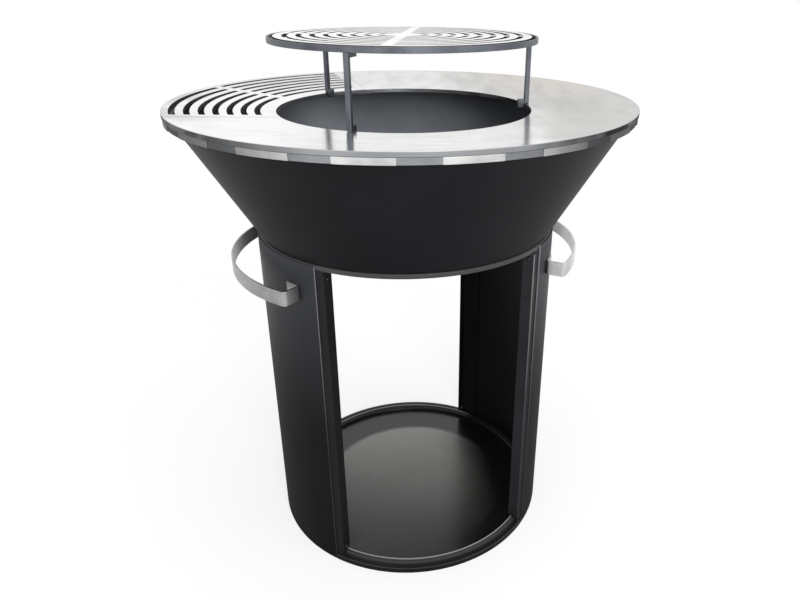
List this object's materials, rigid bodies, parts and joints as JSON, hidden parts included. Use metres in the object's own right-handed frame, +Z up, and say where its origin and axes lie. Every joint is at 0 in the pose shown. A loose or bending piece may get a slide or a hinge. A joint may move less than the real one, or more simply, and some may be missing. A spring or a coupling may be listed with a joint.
{
  "type": "round fire-plate barbecue grill",
  "caption": "Round fire-plate barbecue: a flared bowl on a drum pedestal with a log store, a dished steel plate with a slotted lift-out insert, and a raised round grate on a turning stand.",
  "frame": {"origin": "on the ground at the middle of the drum pedestal", "axes": "+Z up along the drum's axis, -Y out through the front opening of the log store, +X towards the right handle"},
  "size_m": [0.9998, 0.9998, 1.1765],
  "materials": {
    "black_paint": "fine-textured satin black powder coat",
    "tray_paint": "smooth dark grey powder coat",
    "plate_steel": "ground steel with a straight grain",
    "grate_steel": "ground steel plate with cut slots",
    "stand_steel": "dark mill-finish steel bar",
    "stainless": "brushed stainless steel",
    "zinc": "bright zinc-plated steel"
  },
  "bodies": {
    "pedestal": {"base_ring": "black_paint", "tray_ledge": "black_paint", "tray_floor": "tray_paint", "tray_lip": "tray_paint", "top_ring": "black_paint", "base_lugs": "black_paint", "top_lugs": "black_paint", "front_right_post": "black_paint", "back_right_post": "black_paint", "back_left_post": "black_paint", "front_left_post": "black_paint", "post_screws": "black_paint", "post_nuts": "zinc", "right_panel": "black_paint", "left_panel": "black_paint", "right_handle": "stainless", "left_handle": "stainless", "handle_bolts": "zinc", "handle_washers": "zinc"},
    "bowl": {"fire_bowl": "black_paint", "bowl_locator": "black_paint", "rim_ring": "stainless", "rim_pads": "stainless"},
    "plate": {"cooking_plate": "plate_steel", "insert_ledges": "plate_steel", "plate_stops": "plate_steel"},
    "insert": {"grate_insert": "plate_steel"},
    "stand": {"stand_ring": "stand_steel", "front_stand_leg": "stand_steel", "right_stand_leg": "stand_steel", "rear_stand_leg": "stand_steel", "grate_lugs": "stand_steel", "hook_lugs": "stand_steel"},
    "top_grate": {"grate_disc": "grate_steel"}
  },
  "joints": [
    {"name": "bowl_lift", "type": "slide", "parent": "pedestal", "child": "bowl", "axis": [0, 0, 1], "range_m": [0, 0.3]},
    {"name": "plate_lift", "type": "slide", "parent": "bowl", "child": "plate", "axis": [0, 0, 1], "range_m": [0, 0.3]},
    {"name": "insert_pull", "type": "slide", "parent": "plate", "child": "insert", "axis": [-0.8262, 0.5573, 0.0827], "range_m": [0, 0.3]},
    {"name": "stand_turn", "type": "hinge", "parent": "plate", "child": "stand", "pos_m": [0, 0, 1.026], "axis": [0, 0, 1], "continuous": true},
    {"name": "grate_lift", "type": "slide", "parent": "stand", "child": "top_grate", "axis": [0, 0, 1], "range_m": [0, 0.2]}
  ]
}
